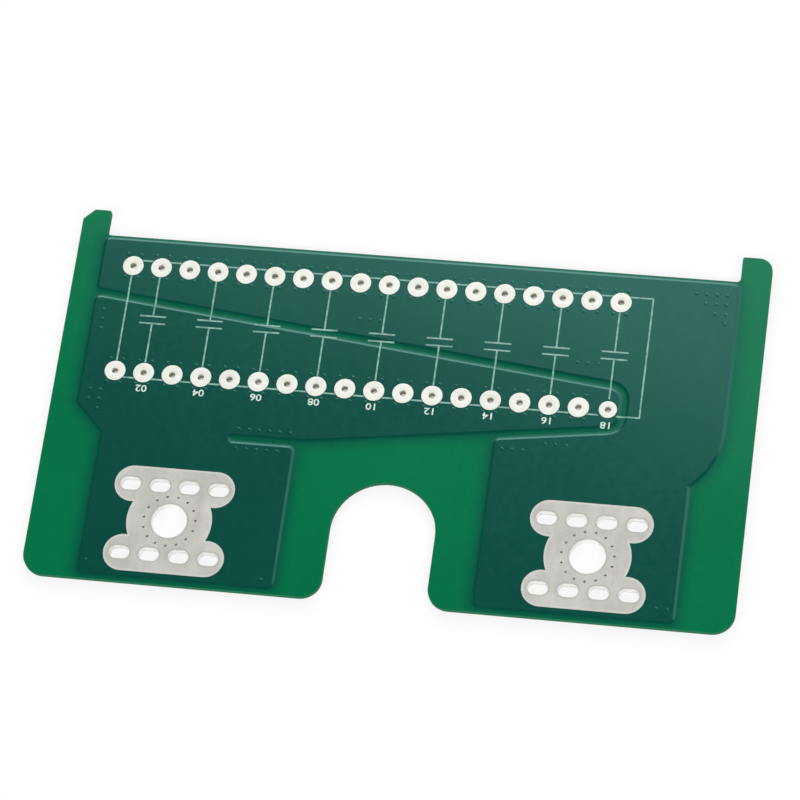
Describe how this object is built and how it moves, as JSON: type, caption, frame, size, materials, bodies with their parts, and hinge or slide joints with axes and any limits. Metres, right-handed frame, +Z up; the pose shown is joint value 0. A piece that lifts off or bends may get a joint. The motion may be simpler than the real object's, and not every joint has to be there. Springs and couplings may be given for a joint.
{
  "type": "printed circuit board",
  "caption": "Flat power circuit board with wide copper areas, a double row of plated capacitor holes, two screw terminals with solder slots and a round-topped notch.",
  "frame": {"origin": "under the middle of the board's outline, on the surface that it lies on", "axes": "+X along the long edge, +Y towards the ears, +Z up out of the front face"},
  "size_m": [0.166, 0.0944, 0.0021],
  "materials": {
    "board_mask": "semi-gloss green solder mask over glass epoxy",
    "copper_mask": "semi-gloss green solder mask over copper",
    "tin": "matt tinned copper",
    "ink": "matt white printed ink"
  },
  "bodies": {
    "root": {"laminate": "board_mask", "front_left_copper": "copper_mask", "front_right_copper": "copper_mask", "back_left_copper": "copper_mask", "back_right_copper": "copper_mask", "left_terminal": "tin", "right_terminal": "tin", "left_vias": "tin", "right_vias": "tin", "legend": "ink", "upper_pad_01": "tin", "upper_pad_02": "tin", "upper_pad_03": "tin", "upper_pad_04": "tin", "upper_pad_05": "tin", "upper_pad_06": "tin", "upper_pad_07": "tin", "upper_pad_08": "tin", "upper_pad_09": "tin", "upper_pad_10": "tin", "upper_pad_11": "tin", "upper_pad_12": "tin", "upper_pad_13": "tin", "upper_pad_14": "tin", "upper_pad_15": "tin", "upper_pad_16": "tin", "upper_pad_17": "tin", "upper_pad_18": "tin", "lower_pad_01": "tin", "lower_pad_02": "tin", "lower_pad_03": "tin", "lower_pad_04": "tin", "lower_pad_05": "tin", "lower_pad_06": "tin", "lower_pad_07": "tin", "lower_pad_08": "tin", "lower_pad_09": "tin", "lower_pad_10": "tin", "lower_pad_11": "tin", "lower_pad_12": "tin", "lower_pad_13": "tin", "lower_pad_14": "tin", "lower_pad_15": "tin", "lower_pad_16": "tin", "lower_pad_17": "tin", "lower_pad_18": "tin"}
  },
  "joints": []
}
